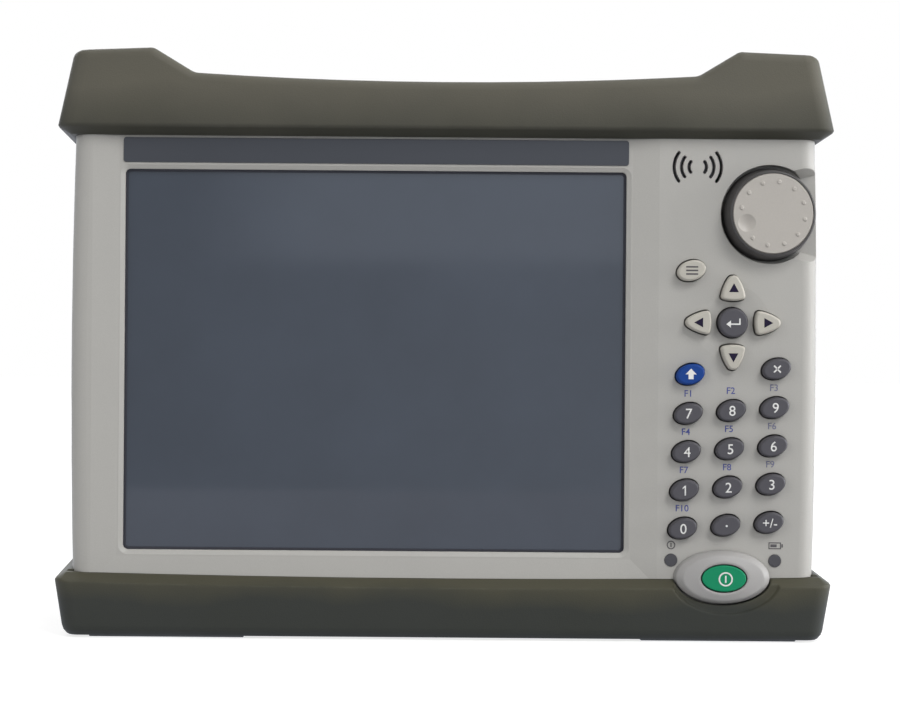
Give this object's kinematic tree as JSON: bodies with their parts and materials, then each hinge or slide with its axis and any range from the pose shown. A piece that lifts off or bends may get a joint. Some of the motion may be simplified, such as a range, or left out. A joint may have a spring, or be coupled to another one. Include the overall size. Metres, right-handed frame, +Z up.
{
  "type": "antenna analyzer",
  "caption": "Handheld antenna analyzer with a large touch screen, tuning knob, keypad, rubber end bumpers, a recessed socket bay on top and a fold-out bail.",
  "frame": {"origin": "bottom centre of the bounding box, on the plane the feet stand on", "axes": "+X towards the user's right, along the width; the screen faces -Y; +Z up"},
  "size_m": [0.273, 0.091, 0.2074],
  "materials": {
    "case_plastic": "fine moulded texture",
    "bumper_rubber": "matte moulded",
    "band_film": "satin film",
    "gasket_rubber": "matte",
    "screen_glass": "semi-matte touch panel",
    "display": "dark display",
    "key_light": "matte",
    "key_blue": "matte",
    "key_dark": "matte",
    "membrane_rubber": "matte",
    "circuit_board": "solder mask",
    "bezel_plastic": "satin",
    "power_green": "matte",
    "switch_metal": "stamped",
    "lamp_clear": "clear",
    "speaker_black": "matte",
    "knob_dark": "satin",
    "knob_light": "satin",
    "steel": "plain",
    "encoder_grey": "die cast",
    "shield_aluminium": "satin",
    "battery_black": "matte",
    "tray_black": "matte",
    "bail_plastic": "fine moulded texture",
    "port_chrome": "bright",
    "usb_steel": "plated",
    "jack_black": "moulded"
  },
  "bodies": {
    "case": {"bail_tray": "case_plastic", "battery": "battery_black", "battery_tray": "tray_black", "bottom_bumper": "bumper_rubber", "case_screws": "steel", "connector_panel": "shield_aluminium", "encoder_body": "encoder_grey", "encoder_nut": "steel", "fan_frame": "tray_black", "front_case": "case_plastic", "headset_jack": "jack_black", "keypad_board": "circuit_board", "keypad_membrane": "membrane_rubber", "label_band": "band_film", "lamp_lenses": "lamp_clear", "lcd_module": "display", "main_board": "circuit_board", "mini_usb_port": "usb_steel", "port_screws": "steel", "power_bezel": "bezel_plastic", "power_switch": "switch_metal", "rear_case": "case_plastic", "rf_module": "shield_aluminium", "rf_port_left": "port_chrome", "rf_port_right": "port_chrome", "screen_gasket": "gasket_rubber", "socket_tub": "case_plastic", "speaker": "speaker_black", "supply_jack": "jack_black", "top_bumper": "bumper_rubber", "touch_lens": "screen_glass", "usb_port": "usb_steel"},
    "knob": {"knob_grip": "knob_dark", "knob_cap": "knob_light", "encoder_shaft": "steel"},
    "power_button": {"power_button": "power_green"},
    "tilt_bail": {"tilt_bail": "bail_plastic", "bail_pins": "steel"},
    "battery_door": {"battery_door": "case_plastic"},
    "fan_rotor": {"fan_rotor": "tray_black"},
    "key_menu": {"key_menu": "key_light"},
    "key_shift": {"key_shift": "key_blue"},
    "key_esc": {"key_esc": "key_dark"},
    "key_up": {"key_up": "key_light"},
    "key_left": {"key_left": "key_light"},
    "key_down": {"key_down": "key_light"},
    "key_right": {"key_right": "key_light"},
    "key_enter": {"key_enter": "key_dark"},
    "key_0": {"key_0": "key_dark"},
    "key_1": {"key_1": "key_dark"},
    "key_2": {"key_2": "key_dark"},
    "key_3": {"key_3": "key_dark"},
    "key_4": {"key_4": "key_dark"},
    "key_5": {"key_5": "key_dark"},
    "key_6": {"key_6": "key_dark"},
    "key_7": {"key_7": "key_dark"},
    "key_8": {"key_8": "key_dark"},
    "key_9": {"key_9": "key_dark"},
    "key_point": {"key_point": "key_dark"},
    "key_sign": {"key_sign": "key_dark"}
  },
  "joints": [
    {"name": "knob_turn", "type": "hinge", "parent": "case", "child": "knob", "pos_m": [0.1142, -0.04, 0.1503], "axis": [0, 1, 0], "continuous": true},
    {"name": "power_press", "type": "slide", "parent": "case", "child": "power_button", "axis": [0, 1, 0], "range_m": [0, 0.001], "stiffness_N_per_m": 1200, "deforming": ["power_switch"]},
    {"name": "bail_swing", "type": "hinge", "parent": "case", "child": "tilt_bail", "pos_m": [0, 0.0382, 0.148], "axis": [1, 0, 0], "range_deg": [0, 45]},
    {"name": "battery_door_slide", "type": "slide", "parent": "case", "child": "battery_door", "axis": [0, 0, -1], "range_m": [0, 0.008]},
    {"name": "fan_spin", "type": "hinge", "parent": "case", "child": "fan_rotor", "pos_m": [0.118, 0.014, 0.084], "axis": [1, 0, 0], "continuous": true},
    {"name": "key_menu_press", "type": "slide", "parent": "case", "child": "key_menu", "axis": [0, 1, 0], "range_m": [0, 0.001], "stiffness_N_per_m": 1200, "deforming": ["keypad_membrane"]},
    {"name": "key_shift_press", "type": "slide", "parent": "case", "child": "key_shift", "axis": [0, 1, 0], "range_m": [0, 0.001], "stiffness_N_per_m": 1200, "deforming": ["keypad_membrane"]},
    {"name": "key_esc_press", "type": "slide", "parent": "case", "child": "key_esc", "axis": [0, 1, 0], "range_m": [0, 0.001], "stiffness_N_per_m": 1200, "deforming": ["keypad_membrane"]},
    {"name": "key_up_press", "type": "slide", "parent": "case", "child": "key_up", "axis": [0, 1, 0], "range_m": [0, 0.001], "stiffness_N_per_m": 1200, "deforming": ["keypad_membrane"]},
    {"name": "key_left_press", "type": "slide", "parent": "case", "child": "key_left", "axis": [0, 1, 0], "range_m": [0, 0.001], "stiffness_N_per_m": 1200, "deforming": ["keypad_membrane"]},
    {"name": "key_down_press", "type": "slide", "parent": "case", "child": "key_down", "axis": [0, 1, 0], "range_m": [0, 0.001], "stiffness_N_per_m": 1200, "deforming": ["keypad_membrane"]},
    {"name": "key_right_press", "type": "slide", "parent": "case", "child": "key_right", "axis": [0, 1, 0], "range_m": [0, 0.001], "stiffness_N_per_m": 1200, "deforming": ["keypad_membrane"]},
    {"name": "key_enter_press", "type": "slide", "parent": "case", "child": "key_enter", "axis": [0, 1, 0], "range_m": [0, 0.001], "stiffness_N_per_m": 1200, "deforming": ["keypad_membrane"]},
    {"name": "key_0_press", "type": "slide", "parent": "case", "child": "key_0", "axis": [0, 1, 0], "range_m": [0, 0.001], "stiffness_N_per_m": 1200, "deforming": ["keypad_membrane"]},
    {"name": "key_1_press", "type": "slide", "parent": "case", "child": "key_1", "axis": [0, 1, 0], "range_m": [0, 0.001], "stiffness_N_per_m": 1200, "deforming": ["keypad_membrane"]},
    {"name": "key_2_press", "type": "slide", "parent": "case", "child": "key_2", "axis": [0, 1, 0], "range_m": [0, 0.001], "stiffness_N_per_m": 1200, "deforming": ["keypad_membrane"]},
    {"name": "key_3_press", "type": "slide", "parent": "case", "child": "key_3", "axis": [0, 1, 0], "range_m": [0, 0.001], "stiffness_N_per_m": 1200, "deforming": ["keypad_membrane"]},
    {"name": "key_4_press", "type": "slide", "parent": "case", "child": "key_4", "axis": [0, 1, 0], "range_m": [0, 0.001], "stiffness_N_per_m": 1200, "deforming": ["keypad_membrane"]},
    {"name": "key_5_press", "type": "slide", "parent": "case", "child": "key_5", "axis": [0, 1, 0], "range_m": [0, 0.001], "stiffness_N_per_m": 1200, "deforming": ["keypad_membrane"]},
    {"name": "key_6_press", "type": "slide", "parent": "case", "child": "key_6", "axis": [0, 1, 0], "range_m": [0, 0.001], "stiffness_N_per_m": 1200, "deforming": ["keypad_membrane"]},
    {"name": "key_7_press", "type": "slide", "parent": "case", "child": "key_7", "axis": [0, 1, 0], "range_m": [0, 0.001], "stiffness_N_per_m": 1200, "deforming": ["keypad_membrane"]},
    {"name": "key_8_press", "type": "slide", "parent": "case", "child": "key_8", "axis": [0, 1, 0], "range_m": [0, 0.001], "stiffness_N_per_m": 1200, "deforming": ["keypad_membrane"]},
    {"name": "key_9_press", "type": "slide", "parent": "case", "child": "key_9", "axis": [0, 1, 0], "range_m": [0, 0.001], "stiffness_N_per_m": 1200, "deforming": ["keypad_membrane"]},
    {"name": "key_point_press", "type": "slide", "parent": "case", "child": "key_point", "axis": [0, 1, 0], "range_m": [0, 0.001], "stiffness_N_per_m": 1200, "deforming": ["keypad_membrane"]},
    {"name": "key_sign_press", "type": "slide", "parent": "case", "child": "key_sign", "axis": [0, 1, 0], "range_m": [0, 0.001], "stiffness_N_per_m": 1200, "deforming": ["keypad_membrane"]}
  ]
}
